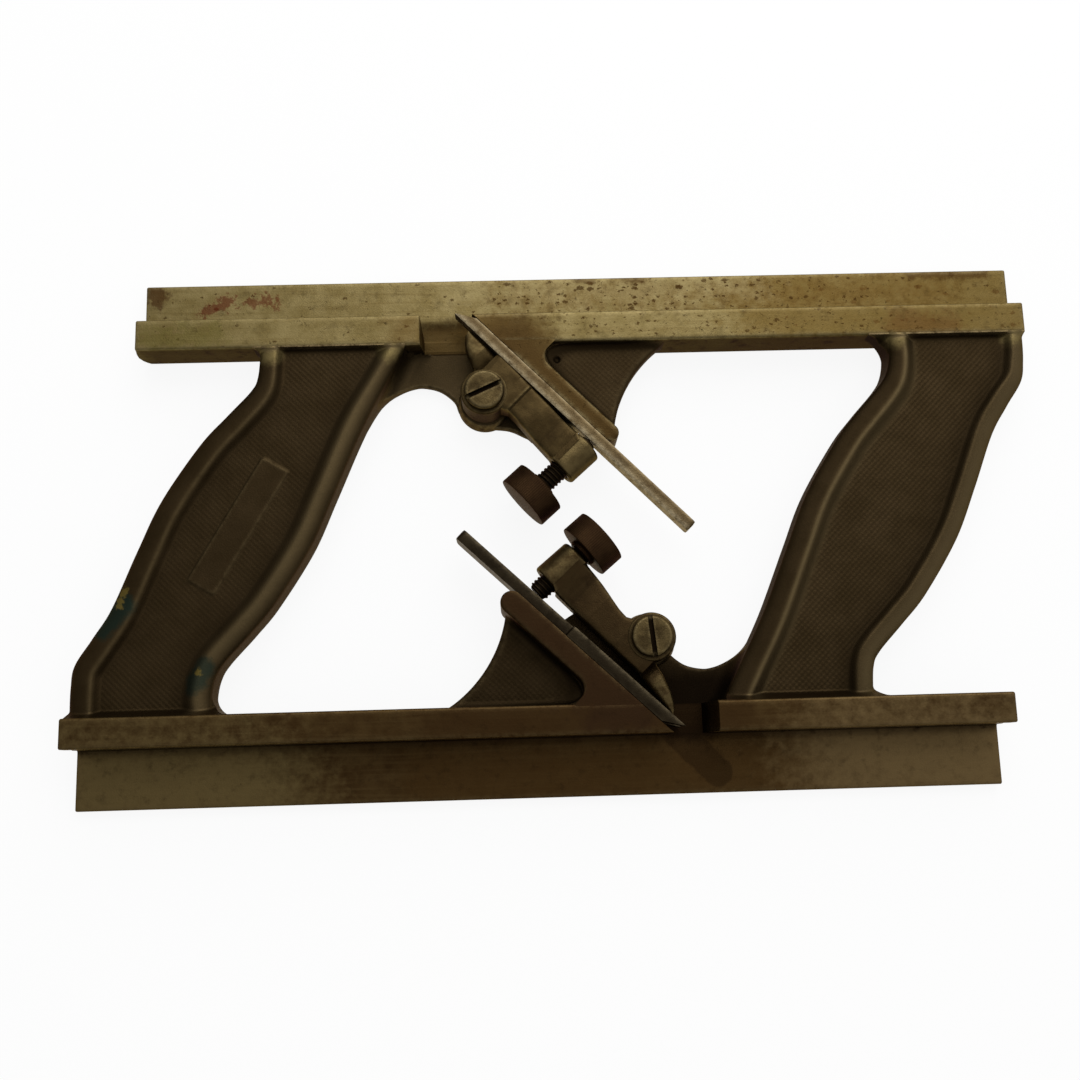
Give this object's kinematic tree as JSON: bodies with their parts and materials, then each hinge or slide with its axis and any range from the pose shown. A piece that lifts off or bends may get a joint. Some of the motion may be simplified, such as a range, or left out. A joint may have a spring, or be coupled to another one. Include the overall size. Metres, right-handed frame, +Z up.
{
  "type": "tongue and groove plane",
  "caption": "Cast metal match plane for tongue and groove joints: fenced rails joined by slanting handles, with a cutter at each edge held by a rocking clamp lever and thumbscrew.",
  "frame": {"origin": "under the middle of the overall box, on the surface the plane lies on", "axes": "+X along the rails, +Y from the tongue end to the groove end, +Z up from the back that it lies on"},
  "size_m": [0.2828, 0.1576, 0.02],
  "materials": {
    "stock": "browned plating worn to bare metal on the rails, fine checked panels on the handles",
    "cutter": "dull grey-brown steel with brighter ground edges",
    "lever": "worn olive-brown plating",
    "thumbscrew": "dark brown, knurled",
    "pivot_screw": "dull pale brass-grey, slotted"
  },
  "bodies": {
    "stock": {"stock": "stock", "tongue_pivot_screw": "pivot_screw", "groove_pivot_screw": "pivot_screw"},
    "tongue_cutter": {"tongue_cutter": "cutter"},
    "groove_cutter": {"groove_cutter": "cutter"},
    "tongue_clamp_lever": {"tongue_clamp_lever": "lever"},
    "groove_clamp_lever": {"groove_clamp_lever": "lever"},
    "tongue_thumbscrew": {"tongue_thumbscrew": "thumbscrew"},
    "groove_thumbscrew": {"groove_thumbscrew": "thumbscrew"}
  },
  "joints": [
    {"name": "tongue_cutter_slide", "type": "slide", "parent": "stock", "child": "tongue_cutter", "axis": [-0.7242, 0.6896, 0], "range_m": [-0.003, 0.01]},
    {"name": "groove_cutter_slide", "type": "slide", "parent": "stock", "child": "groove_cutter", "axis": [0.6997, -0.7145, 0], "range_m": [-0.003, 0.01]},
    {"name": "tongue_lever_rock", "type": "hinge", "parent": "stock", "child": "tongue_clamp_lever", "pos_m": [0.02401, -0.03453, 0.01144], "axis": [0, 0, 1], "range_deg": [0, 1.9]},
    {"name": "groove_lever_rock", "type": "hinge", "parent": "stock", "child": "groove_clamp_lever", "pos_m": [-0.02208, 0.03903, 0.01144], "axis": [0, 0, 1], "range_deg": [0, 1.9]},
    {"name": "tongue_screw_feed", "type": "slide", "parent": "tongue_clamp_lever", "child": "tongue_thumbscrew", "axis": [0.765, 0.644, 0], "range_m": [0, 0.0011]},
    {"name": "groove_screw_feed", "type": "slide", "parent": "groove_clamp_lever", "child": "groove_thumbscrew", "axis": [-0.7485, -0.6631, 0], "range_m": [0, 0.0011]}
  ],
  "couplings": [
    {"joint": "tongue_lever_rock", "follows": "tongue_screw_feed", "rad_per_m": 30},
    {"joint": "groove_lever_rock", "follows": "groove_screw_feed", "rad_per_m": 30}
  ]
}
